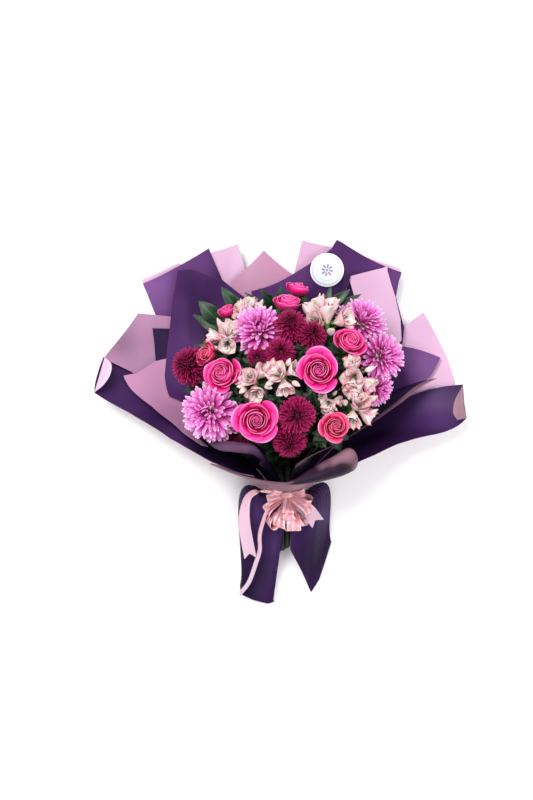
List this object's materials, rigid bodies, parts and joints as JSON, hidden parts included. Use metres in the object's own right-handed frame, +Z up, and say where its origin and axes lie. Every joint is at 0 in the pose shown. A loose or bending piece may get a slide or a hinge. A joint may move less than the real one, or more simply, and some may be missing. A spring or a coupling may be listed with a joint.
{
  "type": "mixed flower bouquet",
  "caption": "Tied bunch of roses, chrysanthemums and alstroemeria in a two-tone pleated film wrapper with a satin bow, lying on its back.",
  "frame": {"origin": "middle of the bounding box at its underside, on the surface that the bouquet lies on", "axes": "+Z up from the surface, +Y from the tie towards the back sheets' tips, +X to the right seen from above"},
  "size_m": [0.5478, 0.5448, 0.1959],
  "materials": {
    "rose": "velvety petal, lighter outer lips",
    "rose_deep": "velvety petal",
    "lilac": "soft ray petals, pale tips",
    "burgundy": "velvety ray petals",
    "cream": "thin petal with green and dark marks",
    "leaf": "waxy leaf with a pale rib",
    "stem": "smooth green stalk",
    "film_pink": "matte film",
    "film_rosy": "matte film",
    "film_purple": "satin-matte film",
    "film_navy": "satin-matte film",
    "film_mauve": "satin-matte film",
    "satin": "glossy satin weave",
    "label": "coated label"
  },
  "bodies": {
    "root": {"rose_front": "rose", "rose_centre": "rose", "rose_left": "rose", "rose_right": "rose", "rose_top": "rose", "rose_bud_top": "rose", "rose_bud_back": "rose", "rose_low_right": "rose_deep", "rose_bud_left": "rose_deep", "chrysanthemum_left": "lilac", "chrysanthemum_back": "lilac", "chrysanthemum_right": "lilac", "chrysanthemum_far_right": "lilac", "chrysanthemum_low_right": "lilac", "pompon_left": "burgundy", "pompon_back": "burgundy", "pompon_middle": "burgundy", "pompon_right": "burgundy", "pompon_front": "burgundy", "pompon_low": "burgundy", "pompon_low_left": "burgundy", "pompon_small": "burgundy", "alstroemeria_left": "cream", "alstroemeria_back": "cream", "alstroemeria_large": "cream", "alstroemeria_middle": "cream", "alstroemeria_centre": "cream", "alstroemeria_right": "cream", "alstroemeria_low_right": "cream", "alstroemeria_low": "cream", "leaves_left": "leaf", "leaves_back": "leaf", "leaves_right": "leaf", "leaves_low_left": "leaf", "leaves_low_right": "leaf", "leaves_front": "leaf", "stems": "stem", "sheet_back_left_pink": "film_pink", "sheet_back_pink": "film_pink", "sheet_back_right_pink": "film_pink", "sheet_left_pink": "film_pink", "sheet_right_pink": "film_pink", "sheet_inner_right": "film_pink", "sheet_back_rosy": "film_rosy", "sheet_left_arrow": "film_rosy", "sheet_back_purple_left": "film_purple", "sheet_left_purple": "film_purple", "sheet_back_purple_right": "film_purple", "sheet_right_purple": "film_purple", "sheet_inner_left": "film_purple", "wing_left": "film_purple", "wing_right": "film_purple", "tail_left": "film_purple", "tail_right": "film_purple", "collar_inner_left": "film_navy", "collar_inner_right": "film_mauve", "collar_front": "film_mauve", "ribbon_band": "satin", "ribbon_bow": "satin", "sticker": "label"}
  },
  "joints": []
}
